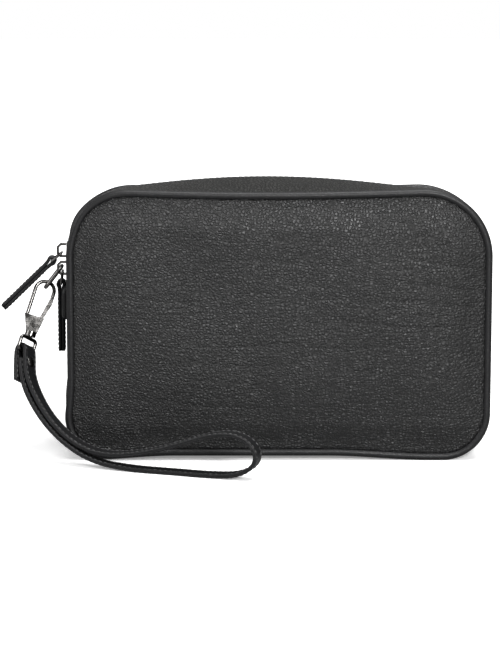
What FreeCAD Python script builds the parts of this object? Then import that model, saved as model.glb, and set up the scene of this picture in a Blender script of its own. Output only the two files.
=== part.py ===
import FreeCAD
import Part
import math
import os
import re
import Sketcher
from FreeCAD import Placement, Rotation, Vector

# A leather makeup bag with a two-slider zip and a snap-on wrist strap, in millimetres.
# The origin is the middle of the flat underside, +Z is up and the front panel faces -Y.
# "Inset" is the depth of a surface below the bag's outline as the front shows it.

SIZES = {
    # the bag
    "bag_width": 250, "bag_height": 160, "gusset_width": 58,
    "top_corner": 40, "bottom_corner": 28, "top_arch": 4, "panel_crown": 4, "crown_slope": 15,
    "leather": 1.5, "lining": 0.5, "board": 0.9, "layer_gap": 0.1,
    "piping": 4.5, "piping_core": 2.4, "gusset_inset": 1.8, "panel_gap": 0.2,
    # the zip
    "zip_seam": 92, "zip_window": 11, "tape_width": 13, "tape": 0.6,
    "teeth_width": 2.5, "teeth": 2.4, "teeth_split": 1.2, "stop_length": 2,
    "tab_low": 81, "tab_high": 98, "tab_width": 18, "tab": 2,
    # the sliders
    "slider_length": 10, "slider_width": 8.8, "slider_nose": 6.4, "slider_plate": 1.2, "slider_fit": 0.35,
    "slider_post": 0.8, "upper_slider": 120, "lower_slider": 109.4,
    "crown_length": 8.4, "crown_rise": 5.9, "crown_wire": 1.3, "crown_width": 3, "crown_gap": 0.4,
    # links and pulls
    "link_length": 7.5, "link_width": 9.9, "link_wire": 1.2, "link_corner": 1.6,
    "pull_length": 40, "pull_width": 8, "pull_thick": 4, "pull_eye": 1.8, "pull_round": 1.5,
    # the strap ring and the snap hook
    "ring_length": 15.2, "ring_width": 11.6, "ring_wire": 2.4, "ring_corner": 3.5,
    "bow_rise": 2.9, "bow_radius": 5.6, "hook_wire": 2.2, "nose_drop": 3.6, "spine_drop": 17,
    "base_top": 9.6, "base_bottom": 6.6, "base_drop": 19.2, "base_length": 9.4, "base_depth": 5,
    "collar_length": 2.8, "collar_radius": 3.3, "gate_wire": 1.8, "gate_pin": 1, "gate_fit": 0.3,
    "swivel_shaft": 2.4, "swivel_fit": 0.06, "swivel_head": 4, "swivel_room": 0.3,
    "eye_width": 13.2, "eye_height": 9, "eye_wire": 2.2, "eye_corner": 2,
    # the wrist strap
    "strap_width": 10, "strap_thick": 2.2, "rivet_radius": 3, "rivet_shank": 1.2, "rivet_cap": 1.2,
    "rivet_rim": 0.3,
}
# How the loose pieces hang at rest, in degrees, and where the ring's two bars lie.
LEAN = 20
TILT = 18
EYE_TURN = 48
UPPER_LINK_DROP = 38
UPPER_PULL_DROP = 44
LOWER_LINK_DROP = 84

# The strap's middle line: short run, floor, end loop, return run, fold round the eye, end tab.
STRAP_ROUTE = [
    (-148.4, -16.8, 57.2), (-148.0, -23.2, 47.4), (-142.4, -29.2, 34.0), (-132.8, -38.2, 21.4),
    (-119.6, -45.6, 10.8), (-104.0, -52.0, 5.0), (-83.0, -59.5, 3.5), (-61.0, -66.5, 3.5),
    (-38.0, -75.0, 3.5), (-21.0, -81.0, 4.2), (-11.0, -84.0, 10.4), (-12.5, -83.0, 20.0),
    (-23.0, -80.0, 26.5), (-38.0, -76.0, 25.0), (-57.0, -69.0, 18.0), (-77.0, -62.0, 12.4),
    (-100.0, -52.4, 9.4), (-117.4, -45.4, 14.4), (-130.2, -38.6, 24.6), (-139.4, -30.1, 36.6),
    (-145.2, -23.6, 49.6), (-145.4, -17.7, 59.5), (-146.0, -13.7, 65.1), (-150.8, -11.0, 63.3),
    (-151.3, -15.9, 55.5), (-150.7, -23.2, 45.3),
]

document = FreeCAD.newDocument("makeup_bag")
sheet = document.addObject("Spreadsheet::Sheet", "sizes")
for row, (name, number) in enumerate(SIZES.items(), start=1):
    sheet.set(f"A{row}", name)
    sheet.set(f"B{row}", str(number))
    sheet.setAlias(f"B{row}", name)
document.recompute()
nodes = []


def formula(text):
    """Turns a formula of size names into one that reads the size sheet."""
    return re.sub(r"[a-z_]+", lambda word: f"sizes.{word[0]}" if word[0] in SIZES else word[0], text)


def size(text):
    """The value of a formula of size names."""
    return float(sheet.evalExpression(formula(text)))


# ---------------------------------------------------------------- sketches

def new_body(label):
    """An empty sub-part, kept as a node."""
    body = document.addObject("PartDesign::Body", label)
    body.Label = label
    nodes.append(body)
    return body


def new_sketch(body, name, role, offset="0"):
    """A sketch on one of the body's own origin planes, moved along the plane's normal."""
    sketch = body.newObject("Sketcher::SketchObject", f"{body.Name}_{name}")
    plane = next(feature for feature in body.Origin.OriginFeatures if feature.Role == role)
    sketch.AttachmentSupport = (plane, [""])
    sketch.MapMode = "FlatFace"
    sketch.setExpression("AttachmentOffset.Base.z", formula(offset))
    return sketch


def bind(sketch, kind, where, text):
    """Adds a dimension and ties it to the size sheet."""
    index = sketch.addConstraint(Sketcher.Constraint(kind, *where, size(text)))
    sketch.setExpression(f"Constraints[{index}]", formula(text))


def polygon(sketch, corners):
    """A closed outline of straight edges through corners, each a pair of formulas."""
    points = [Vector(size(across), size(up), 0) for across, up in corners]
    edges = [sketch.addGeometry(Part.LineSegment(a, b)) for a, b in zip(points, points[1:] + points[:1])]
    for number, edge in enumerate(edges):
        sketch.addConstraint(Sketcher.Constraint("Coincident", edges[number - 1], 2, edge, 1))
        bind(sketch, "DistanceX", (-1, 1, edge, 1), corners[number][0])
        bind(sketch, "DistanceY", (-1, 1, edge, 1), corners[number][1])


def rectangle(sketch, left, low, right, high):
    """A rectangle from its four sides' formulas."""
    polygon(sketch, [(left, low), (right, low), (right, high), (left, high)])


def circle(sketch, across, up, radius):
    """A circle tied by its centre and radius."""
    edge = sketch.addGeometry(Part.Circle(Vector(size(across), size(up), 0), Vector(0, 0, 1), size(radius)))
    bind(sketch, "DistanceX", (-1, 1, edge, 3), across)
    bind(sketch, "DistanceY", (-1, 1, edge, 3), up)
    bind(sketch, "Radius", (edge,), radius)


def arc(sketch, across, up, radius, start, end):
    """An arc tied by its centre and radius; its ends are left to its neighbours."""
    centre = Vector(size(across), size(up), 0)
    whole = Part.Circle(centre, Vector(0, 0, 1), size(radius))
    edge = sketch.addGeometry(Part.ArcOfCircle(whole, math.radians(start), math.radians(end)))
    bind(sketch, "DistanceX", (-1, 1, edge, 3), across)
    bind(sketch, "DistanceY", (-1, 1, edge, 3), up)
    bind(sketch, "Radius", (edge,), radius)
    return edge


def tangent_line(sketch, first, second):
    """A straight edge from the end of one arc to the start of the next, tangent to both."""
    start = sketch.getPoint(first, 2)
    end = sketch.getPoint(second, 1)
    edge = sketch.addGeometry(Part.LineSegment(start, end))
    sketch.addConstraint(Sketcher.Constraint("Tangent", first, 2, edge, 1))
    sketch.addConstraint(Sketcher.Constraint("Tangent", edge, 2, second, 1))
    return edge


def rounded_rectangle(sketch, left, low, right, high, low_round, high_round):
    """A closed outline of four arcs joined by tangent lines; the rounds are inset radii."""
    arcs = [
        arc(sketch, f"{left} + {low_round}", f"{low} + {low_round}", low_round, 180, 270),
        arc(sketch, f"{right} - ({low_round})", f"{low} + {low_round}", low_round, 270, 360),
        arc(sketch, f"{right} - ({high_round})", f"{high} - ({high_round})", high_round, 0, 90),
        arc(sketch, f"{left} + {high_round}", f"{high} - ({high_round})", high_round, 90, 180),
    ]
    for number, first in enumerate(arcs):
        tangent_line(sketch, first, arcs[(number + 1) % 4])


def bag_outline(sketch, inset):
    """The bag's whole outline as the front shows it, a given depth inside."""
    rounded_rectangle(sketch, f"0 - bag_width/2 + {inset}", inset, f"bag_width/2 - ({inset})",
                      f"bag_height - ({inset})", f"bottom_corner - ({inset})", f"top_corner - ({inset})")


ARCH_RADIUS = "top_corner + (pow(bag_width/2 - top_corner; 2) + top_arch*top_arch)/(2*top_arch)"


def over_outline(sketch, inset, low):
    """The outline above a height: two uprights, two top corners and a shallow arch between them."""
    reach = size("bag_width/2 - top_corner")
    slant = math.degrees(math.asin(reach / (size(ARCH_RADIUS) - size("top_corner"))))
    corner = ("bag_height - top_corner", f"top_corner - ({inset})")
    right = arc(sketch, "bag_width/2 - top_corner", *corner, 0, 90 - slant)
    left = arc(sketch, "0 - bag_width/2 + top_corner", *corner, 90 + slant, 180)
    radius = f"{ARCH_RADIUS} - ({inset})"
    middle = Vector(0, size("bag_height + top_arch") - size(ARCH_RADIUS), 0)
    whole = Part.Circle(middle, Vector(0, 0, 1), size(radius))
    arch = sketch.addGeometry(Part.ArcOfCircle(whole, math.radians(90 - slant), math.radians(90 + slant)))
    sketch.addConstraint(Sketcher.Constraint("Tangent", right, 2, arch, 1))
    sketch.addConstraint(Sketcher.Constraint("Tangent", arch, 2, left, 1))
    bind(sketch, "Radius", (arch,), radius)
    close_uprights(sketch, left, right, low)


def under_outline(sketch, inset, high):
    """The outline below a height: the gusset's own face lies on the floor, so its corners sit lower."""
    corner = ("bottom_corner - gusset_inset", f"bottom_corner - ({inset})")
    left = arc(sketch, "0 - bag_width/2 + bottom_corner", *corner, 180, 270)
    right = arc(sketch, "bag_width/2 - bottom_corner", *corner, 270, 360)
    tangent_line(sketch, left, right)
    close_uprights(sketch, right, left, high)


def close_uprights(sketch, first, second, level):
    """Closes an open outline with an upright from each end to a level edge at the given height."""
    start = sketch.getPoint(first, 2)
    end = sketch.getPoint(second, 1)
    height = size(level)
    up = sketch.addGeometry(Part.LineSegment(start, Vector(start.x, height, 0)))
    across = sketch.addGeometry(Part.LineSegment(Vector(start.x, height, 0), Vector(end.x, height, 0)))
    down = sketch.addGeometry(Part.LineSegment(Vector(end.x, height, 0), end))
    sketch.addConstraint(Sketcher.Constraint("Tangent", first, 2, up, 1))
    sketch.addConstraint(Sketcher.Constraint("Coincident", up, 2, across, 1))
    sketch.addConstraint(Sketcher.Constraint("Coincident", across, 2, down, 1))
    sketch.addConstraint(Sketcher.Constraint("Tangent", down, 2, second, 1))
    sketch.addConstraint(Sketcher.Constraint("Vertical", up))
    sketch.addConstraint(Sketcher.Constraint("Vertical", down))
    bind(sketch, "DistanceY", (-1, 1, across, 1), level)
    bind(sketch, "DistanceY", (-1, 1, across, 2), level)


# ---------------------------------------------------------------- features

def pad(body, sketch, length):
    """Thickens a sketch along its plane's normal."""
    feature = body.newObject("PartDesign::Pad", f"{sketch.Name}_pad")
    feature.Profile = sketch
    feature.setExpression("Length", formula(length))
    document.recompute()
    return feature


def cut(body, sketch, length):
    """Cuts a sketch out of the body along its plane's normal."""
    before = body.Shape.Volume
    feature = body.newObject("PartDesign::Pocket", f"{sketch.Name}_cut")
    feature.Profile = sketch
    feature.Reversed = True
    feature.setExpression("Length", formula(length))
    document.recompute()
    if body.Shape.Volume > before - 0.01:
        raise RuntimeError(f"{sketch.Name} cuts nothing")
    return feature


def loft(body, kind, sketches):
    """Joins sketches by straight walls; kind is Additive or Subtractive."""
    feature = body.newObject(f"PartDesign::{kind}Loft", f"{sketches[0].Name}_loft")
    feature.Profile = sketches[0]
    feature.Sections = sketches[1:]
    feature.Ruled = True
    document.recompute()


def sweep(body, kind, path, section):
    """Carries a section along a path; kind is Additive or Subtractive."""
    feature = body.newObject(f"PartDesign::{kind}Pipe", f"{section.Name}_pipe")
    feature.Profile = section
    feature.Spine = (path, [])
    document.recompute()


def turn(body, sketch):
    """Revolves a sketch about its own upright axis."""
    feature = body.newObject("PartDesign::Revolution", f"{sketch.Name}_turn")
    feature.Profile = sketch
    feature.ReferenceAxis = (sketch, ["V_Axis"])
    feature.Angle = 360
    document.recompute()


# ---------------------------------------------------------------- the bag

def gusset_band(label, outline, inset, thickness, level, near, far):
    """A strip of sheet that follows the bag's outline from y = near to y = far."""
    body = new_body(label)
    outer = new_sketch(body, "outer", "XZ_Plane", f"0 - ({near})")
    outline(outer, inset, level)
    pad(body, outer, f"{near} - ({far})")
    inner = new_sketch(body, "inner", "XZ_Plane", f"0 - ({near})")
    past = "zip_seam - 1" if outline is over_outline else "zip_seam + 1"
    outline(inner, f"{inset} + {thickness}", past if level == "zip_seam" else level)
    cut(body, inner, f"{near} - ({far})")
    return body


def panel(label, depth, thickness):
    """A crowned sheet inside the front piping: a rim, a sloping border and a flat middle."""
    slope = "(panel_crown/crown_slope)"
    rim = "(piping + panel_gap)"
    body = new_body(label)
    lofts = (("Additive", depth), ("Subtractive", f"{depth} + {thickness}"))
    for kind, down in lofts:
        wall = f"({down})"
        start = "gusset_width/2 - 2"
        bend = f"gusset_width/2 + 2.5 - {wall}*(1 + {slope}/2) + {slope}*{wall}"
        top = f"gusset_width/2 + 2.5 + panel_crown - {wall}"
        places = [(start, f"{rim} + {wall}"), (bend, f"{rim} + {wall}"), (top, f"{rim} + crown_slope + {wall}/2")]
        sketches = []
        for number, (out, inset) in enumerate(places):
            sketch = new_sketch(body, f"{kind}_{number}", "XZ_Plane", out)
            bag_outline(sketch, inset)
            sketches.append(sketch)
        document.recompute()
        loft(body, kind, sketches)
    return body


def backing(label):
    """The stiffening sheet behind a panel's flat middle."""
    body = new_body(label)
    sketch = new_sketch(body, "sheet", "XZ_Plane", "gusset_width/2 + 2.5 + panel_crown - leather - layer_gap - board")
    bag_outline(sketch, "piping + panel_gap + crown_slope + leather + 1")
    pad(body, sketch, "board")
    return body


def piping(label, core_label):
    """The rolled leather edge round the front panel, and the cord inside it."""
    middle = "gusset_width/2 + piping/2"
    for name, radius in ((label, "piping/2"), (core_label, "piping_core/2")):
        body = new_body(name)
        path = new_sketch(body, "path", "XZ_Plane", middle)
        bag_outline(path, "piping/2")
        section = new_sketch(body, "section", "YZ_Plane", "0 - bag_width/2 + bottom_corner")
        circle(section, f"0 - ({middle})", "piping/2", radius)
        document.recompute()
        sweep(body, "Additive", path, section)
        if radius == "piping/2":
            bore = new_sketch(body, "bore", "YZ_Plane", "0 - bag_width/2 + bottom_corner")
            circle(bore, f"0 - ({middle})", "piping/2", "piping_core/2 + layer_gap")
            document.recompute()
            sweep(body, "Subtractive", path, bore)


def end_tab(label, side):
    """The leather tab over one end of the zip."""
    body = new_body(label)
    sketch = new_sketch(body, "face", "XZ_Plane", "0 - tab_width/2")
    outer = f"{side}*(bag_width/2 - gusset_inset + layer_gap + tab)"
    inner = f"{side}*(bag_width/2 - gusset_inset + layer_gap)"
    polygon(sketch, [(inner, "tab_low"), (outer, "tab_low + 1"), (outer, "tab_high - 1"), (inner, "tab_high")])
    pad(body, sketch, "tab_width")


def zip_stop(label, side):
    """The metal staple that closes one end of the chain."""
    body = new_body(label)
    sketch = new_sketch(body, "face", "XZ_Plane", "0 - teeth_split/2 - teeth_width")
    middle = f"{side}*(bag_width/2 - {CHAIN_INSET})"
    rectangle(sketch, f"{middle} - teeth/2", "zip_seam + 0.5", f"{middle} + teeth/2", "zip_seam + 0.5 + stop_length")
    pad(body, sketch, "teeth_split + 2*teeth_width")


TAPE_INSET = "gusset_inset + leather + layer_gap"
CHAIN_INSET = "(gusset_inset + leather + layer_gap + tape/2)"
LINING_INSET = "gusset_inset + leather + tape + board + 3*layer_gap"


def build_shell():
    """Everything that is sewn together and doesn't move."""
    panel("front_panel", "0", "leather")
    panel("front_lining", "leather + board + 2*layer_gap", "lining")
    backing("front_backing")
    piping("front_piping", "front_piping_cord")
    gusset_band("bottom_gusset", under_outline, "gusset_inset", "leather", "zip_seam",
                "gusset_width/2", "0 - gusset_width/2")
    gusset_band("bottom_lining", under_outline, LINING_INSET, "lining", "zip_seam",
                "gusset_width/2 - 3", "3 - gusset_width/2")
    strips = (
        ("zip_strip", "gusset_inset", "leather", "zip_seam", "gusset_width/2", "zip_window/2"),
        ("zip_lining", LINING_INSET, "lining", "zip_seam", "gusset_width/2 - 3", "zip_window/2 + 1"),
        ("zip_tape", TAPE_INSET, "tape", "zip_seam - 4", "teeth_split/2 + tape_width", "teeth_split/2 + teeth_width"),
        ("zip_teeth", f"{CHAIN_INSET} - teeth/2", "teeth", "zip_seam + 0.6 + stop_length",
         "teeth_split/2 + teeth_width", "teeth_split/2"),
    )
    for name, inset, thickness, level, outer, inner in strips:
        gusset_band(f"back_{name}", over_outline, inset, thickness, level, outer, inner)
        gusset_band(f"front_{name}", over_outline, inset, thickness, level, f"0 - ({inner})", f"0 - ({outer})")
    for name, side in (("left", "-1"), ("right", "1")):
        end_tab(f"{name}_end_tab", side)
        zip_stop(f"{name}_zip_stop", side)
    board = new_body("base_board")
    sketch = new_sketch(board, "sheet", "XY_Plane", "leather + layer_gap")
    rectangle(sketch, "0 - bag_width/2 + bottom_corner", "2 - gusset_width/2",
              "bag_width/2 - bottom_corner", "gusset_width/2 - 2")
    pad(board, sketch, "board")


def copy_to_back(label):
    """The back's copy of a front sub-part, turned half round the upright axis."""
    front = document.getObject(f"front_{label}")
    shape = front.Shape.copy()
    shape.rotate(Vector(0, 0, 0), Vector(0, 0, 1), 180)
    feature = document.addObject("Part::Feature", f"back_{label}")
    feature.Label = f"back_{label}"
    feature.Shape = shape
    nodes.append(feature)


# ---------------------------------------------------------------- sliders, links and pulls

def slider(label, place):
    """Two plates round the chain, joined by the post that parts its rows; +X is the nose, +Z is outwards."""
    body = new_body(f"{label}_slider_body")
    room = "teeth/2 + slider_fit"
    for name, low in (("outer", room), ("inner", f"0 - ({room}) - slider_plate")):
        sketch = new_sketch(body, name, "XY_Plane", low)
        polygon(sketch, [
            ("0 - slider_length/2", "0 - slider_width/2"), ("0", "0 - slider_width/2"),
            ("slider_length/2", "0 - slider_nose/2"), ("slider_length/2", "slider_nose/2"),
            ("0", "slider_width/2"), ("0 - slider_length/2", "slider_width/2"),
        ])
        if name == "outer":
            pad(body, sketch, "slider_plate")
            post = new_sketch(body, "post", "XY_Plane", f"0 - ({room}) - slider_plate/2")
            rectangle(post, "0.4 - slider_length/2", "0 - slider_post/2", "3 - slider_length/2", "slider_post/2")
            pad(body, post, f"2*({room}) + slider_plate")
        else:
            pad(body, sketch, "slider_plate")
    body.Placement = place

    crown = new_body(f"{label}_slider_crown")
    foot = f"{room} + slider_plate"
    sketch = new_sketch(crown, "side", "XZ_Plane", "0 - crown_width/2")
    half = "crown_length/2"
    polygon(sketch, [
        (f"0 - {half}", foot), (f"crown_wire - {half}", foot),
        (f"crown_wire - {half}", f"{foot} + crown_rise - 2*crown_wire"),
        (f"2*crown_wire - {half}", f"{foot} + crown_rise - crown_wire"),
        (f"{half} - 2*crown_wire", f"{foot} + crown_rise - crown_wire"),
        (f"{half} - crown_wire", f"{foot} + crown_rise - 2*crown_wire"),
        (f"{half} - crown_wire", f"{foot} + crown_gap"), (half, f"{foot} + crown_gap"),
        (half, f"{foot} + crown_rise - 1.6*crown_wire"), (f"{half} - 1.6*crown_wire", f"{foot} + crown_rise"),
        (f"1.6*crown_wire - {half}", f"{foot} + crown_rise"),
        (f"0 - {half}", f"{foot} + crown_rise - 1.6*crown_wire"),
    ])
    pad(crown, sketch, "crown_width")
    crown.Placement = place


def wire_loop(label, length, width, wire, corner, place):
    """A rounded rectangle of round wire in its XY plane, with one bar on the Y axis and the other at +X."""
    body = new_body(label)
    path = new_sketch(body, "path", "XY_Plane")
    rounded_rectangle(path, "0", f"0 - {width}/2", length, f"{width}/2", corner, corner)
    section = new_sketch(body, "section", "YZ_Plane", corner)
    circle(section, f"0 - {width}/2", "0", f"{wire}/2")
    document.recompute()
    sweep(body, "Additive", path, section)
    body.Placement = place
    return body


def leather_pull(label, place):
    """A folded leather tab that hangs on a link bar: a round loop end, two layers and a square tip."""
    body = new_body(label)
    sketch = new_sketch(body, "side", "XZ_Plane", "0 - pull_width/2")
    half = "pull_thick/2"
    loop = arc(sketch, "0", "0", half, 90, 270)
    low = sketch.addGeometry(Part.LineSegment(Vector(0, -size(half), 0), Vector(size("pull_length"), -size(half), 0)))
    tip = sketch.addGeometry(Part.LineSegment(Vector(size("pull_length"), -size(half), 0),
                                              Vector(size("pull_length"), size(half), 0)))
    high = sketch.addGeometry(Part.LineSegment(Vector(size("pull_length"), size(half), 0), Vector(0, size(half), 0)))
    for first, second in ((loop, low), (high, loop)):
        sketch.addConstraint(Sketcher.Constraint("Tangent", first, 2, second, 1))
    for first, second in ((low, tip), (tip, high)):
        sketch.addConstraint(Sketcher.Constraint("Coincident", first, 2, second, 1))
    sketch.addConstraint(Sketcher.Constraint("Horizontal", low))
    sketch.addConstraint(Sketcher.Constraint("Vertical", tip))
    bind(sketch, "DistanceX", (-1, 1, tip, 1), "pull_length")
    pad(body, sketch, "pull_width")
    eye = new_sketch(body, "eye", "XZ_Plane", "0 - pull_width/2")
    circle(eye, "0", "0", "pull_eye/2")
    cut(body, eye, "pull_width")
    body.Placement = place


def facing(base, along, outward):
    """A placement at base with local X along one direction and local Z as near another as it can be."""
    first = Vector(*along).normalize()
    side = Vector(*outward).cross(first).normalize()
    third = first.cross(side)
    matrix = FreeCAD.Matrix(first.x, side.x, third.x, base.x, first.y, side.y, third.y, base.y,
                            first.z, side.z, third.z, base.z, 0, 0, 0, 1)
    return Placement(matrix)


def dropping(base, degrees):
    """A placement whose local X points away from the bag's left side, that far below level."""
    angle = math.radians(degrees)
    return facing(base, (-math.cos(angle), 0, -math.sin(angle)), (-math.sin(angle), 0, math.cos(angle)))


def reach(base, degrees, length):
    """The far end of a piece of a given length that drops from base."""
    angle = math.radians(degrees)
    return base + Vector(-math.cos(angle), 0, -math.sin(angle)) * length


chain_x = -size(f"bag_width/2 - {CHAIN_INSET}")
crown_top = size("teeth/2 + slider_fit + slider_plate + crown_rise - crown_wire")
UPPER_LINK_BAR = Vector(chain_x - crown_top + size("link_wire/2") + 1, 0, size("upper_slider") - 1.6)
LOWER_LINK_BAR = Vector(chain_x - crown_top + size("link_wire/2") + 1.4, 0, size("lower_slider") - 1.9)
RING_BAR = Vector(chain_x - crown_top + size("ring_wire/2") + 0.25, 0, size("lower_slider") + 0.8)
RING_DROP = 52


def build_zip_hardware():
    """Both sliders with what hangs on them, and the strap ring."""
    for label, height, nose in (("upper", "upper_slider", 1), ("lower", "lower_slider", -1)):
        slider(label, facing(Vector(chain_x, 0, size(height)), (0, 0, nose), (-1, 0, 0)))
    hangings = (("upper", UPPER_LINK_BAR, UPPER_LINK_DROP, UPPER_PULL_DROP),
                ("lower", LOWER_LINK_BAR, LOWER_LINK_DROP, 90))
    for label, bar, link_drop, pull_drop in hangings:
        wire_loop(f"{label}_link", "link_length", "link_width", "link_wire", "link_corner", dropping(bar, link_drop))
        leather_pull(f"{label}_leather_pull", dropping(reach(bar, link_drop, size("link_length")), pull_drop))
    wire_loop("strap_ring", "ring_length", "ring_width", "ring_wire", "ring_corner", dropping(RING_BAR, RING_DROP))


# ---------------------------------------------------------------- the snap hook

hook_bar = reach(RING_BAR, RING_DROP, size("ring_length"))
hook_turn = Rotation(Vector(0, 1, 0), TILT) * Rotation(Vector(1, 0, 0), -LEAN)
hook_place = Placement(hook_bar, hook_turn)
EYE_DROP = "base_drop + base_length + collar_length + swivel_room + eye_height"


def build_hook():
    """The bow, its base and collar, the sprung gate with its pin and spring, and the swivel eye."""
    body = new_body("hook_body")
    path = new_sketch(body, "path", "XZ_Plane")
    low = "bow_rise - bow_radius"
    bow = arc(path, "0", low, "bow_radius", 0, 180)
    side = size("bow_radius")
    nose = path.addGeometry(Part.LineSegment(Vector(side, size(f"{low} - nose_drop"), 0), Vector(side, size(low), 0)))
    spine = path.addGeometry(Part.LineSegment(Vector(-side, size(low), 0), Vector(-side, size(f"{low} - spine_drop"), 0)))
    path.addConstraint(Sketcher.Constraint("Tangent", nose, 2, bow, 1))
    path.addConstraint(Sketcher.Constraint("Tangent", bow, 2, spine, 1))
    path.addConstraint(Sketcher.Constraint("Vertical", nose))
    path.addConstraint(Sketcher.Constraint("Vertical", spine))
    bind(path, "DistanceY", (-1, 1, nose, 1), f"{low} - nose_drop")
    bind(path, "DistanceY", (-1, 1, spine, 2), f"{low} - spine_drop")
    section = new_sketch(body, "section", "XY_Plane", f"{low} - nose_drop")
    circle(section, "bow_radius", "0", "hook_wire/2")
    document.recompute()
    sweep(body, "Additive", path, section)
    base = new_sketch(body, "base", "XZ_Plane", "0 - base_depth/2")
    polygon(base, [
        ("0 - bow_radius - hook_wire/2 - 0.3", "0 - base_drop"), ("0 - base_bottom/2", "0 - base_drop - base_length"),
        ("base_bottom/2", "0 - base_drop - base_length"), ("base_top/2", "0 - base_drop"),
    ])
    pad(body, base, "base_depth")
    collar = new_sketch(body, "collar", "XZ_Plane")
    rectangle(collar, "0", "0 - base_drop - base_length - collar_length", "collar_radius", "0 - base_drop - base_length")
    turn(body, collar)
    chamber = new_sketch(body, "chamber", "XZ_Plane")
    foot = "0 - base_drop - base_length - collar_length"
    polygon(chamber, [
        ("0", f"{foot} - 1"), ("swivel_shaft/2 + swivel_fit", f"{foot} - 1"),
        ("swivel_shaft/2 + swivel_fit", f"{foot} + collar_length/2"),
        ("swivel_head/2 + swivel_fit", f"{foot} + collar_length/2"),
        ("swivel_head/2 + swivel_fit", f"{foot} + collar_length + 1"), ("0", f"{foot} + collar_length + 1"),
    ])
    groove = body.newObject("PartDesign::Groove", "swivel_chamber")
    groove.Profile = chamber
    groove.ReferenceAxis = (chamber, ["V_Axis"])
    groove.Angle = 360
    document.recompute()
    slot = new_sketch(body, "slot", "XZ_Plane", "0 - gate_wire/2 - gate_fit")
    rectangle(slot, "0.8", "0 - base_drop - 5", "base_top/2 + 1", "1 - base_drop")
    cut(body, slot, "gate_wire + 2*gate_fit")
    pin_bore = new_sketch(body, "pin_bore", "XZ_Plane", "0 - base_depth/2")
    circle(pin_bore, GATE_X, GATE_Z, "gate_pin/2")
    cut(body, pin_bore, "base_depth")
    body.Placement = hook_place

    gate = new_body("hook_gate")
    sketch = new_sketch(gate, "side", "XZ_Plane", "0 - gate_wire/2")
    tip = "bow_rise - bow_radius - nose_drop - gate_fit"
    polygon(sketch, [
        ("bow_radius - hook_wire/2", tip), (f"{GATE_X} - 1", f"{GATE_Z} + 1.3"),
        (f"{GATE_X} - 1", f"{GATE_Z} - 1"), (f"{GATE_X} + 1", f"{GATE_Z} - 1"),
        (f"{GATE_X} + 1", f"{GATE_Z} + 1.3"), ("bow_radius + hook_wire/2", f"{tip} - 3"),
        ("bow_radius + hook_wire/2", tip),
    ])
    pad(gate, sketch, "gate_wire")
    bore = new_sketch(gate, "bore", "XZ_Plane", "0 - gate_wire/2")
    circle(bore, GATE_X, GATE_Z, "gate_pin/2 + 0.04")
    cut(gate, bore, "gate_wire")
    gate.Placement = hook_place

    pin = new_body("hook_gate_pin")
    sketch = new_sketch(pin, "end", "XZ_Plane", "0 - base_depth/2")
    circle(sketch, GATE_X, GATE_Z, "gate_pin/2")
    pad(pin, sketch, "base_depth")
    pin.Placement = hook_place

    spring = new_body("hook_gate_spring")
    sketch = new_sketch(spring, "side", "XZ_Plane", "0 - 0.4")
    rectangle(sketch, "0.85", f"{GATE_Z} - 2.6", "1.25", f"{GATE_Z} + 1.8")
    pad(spring, sketch, "0.8")
    spring.Placement = hook_place


GATE_X = "(base_top/2 - 1.9)"
GATE_Z = "(0 - base_drop - 2.2)"


def build_swivel():
    """The D-shaped eye that turns in the collar: a headed shaft and a loop for the strap."""
    body = new_body("swivel_eye")
    low = f"0 - ({EYE_DROP})"
    path = new_sketch(body, "path", "XZ_Plane")
    rounded_rectangle(path, "0 - eye_width/2", low, "eye_width/2", f"{low} + eye_height - eye_wire/2",
                      "eye_corner", "eye_corner")
    section = new_sketch(body, "section", "YZ_Plane", "eye_corner - eye_width/2")
    circle(section, "0", low, "eye_wire/2")
    document.recompute()
    sweep(body, "Additive", path, section)
    shaft = new_sketch(body, "shaft", "XZ_Plane")
    collar_foot = "0 - base_drop - base_length - collar_length"
    polygon(shaft, [
        ("0", f"{low} + eye_height - eye_wire/2"), ("swivel_shaft/2", f"{low} + eye_height - eye_wire/2"),
        ("swivel_shaft/2", f"{collar_foot} + collar_length/2 + swivel_fit"),
        ("swivel_head/2", f"{collar_foot} + collar_length/2 + swivel_fit"),
        ("swivel_head/2", f"{collar_foot} + collar_length + 0.6"), ("0", f"{collar_foot} + collar_length + 0.6"),
    ])
    turn(body, shaft)
    body.Placement = hook_place * Placement(Vector(0, 0, 0), Rotation(Vector(0, 0, 1), EYE_TURN))


gate_pivot = hook_place.multVec(Vector(size(GATE_X), 0, size(GATE_Z)))
upper_pull_bar = reach(UPPER_LINK_BAR, UPPER_LINK_DROP, size("link_length"))
lower_pull_bar = reach(LOWER_LINK_BAR, LOWER_LINK_DROP, size("link_length"))
EYE_BAR = hook_place.multVec(Vector(0, 0, -size(EYE_DROP)))
WIDE = hook_turn.multVec(Vector(math.cos(math.radians(EYE_TURN)), math.sin(math.radians(EYE_TURN)), 0))
# Below the eye the strap's layers hang in the plane square to the eye's bar.
DOWN = Vector(0, WIDE.z, -WIDE.y).normalize()
OUT = WIDE.cross(-DOWN)


# ---------------------------------------------------------------- the wrist strap

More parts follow.
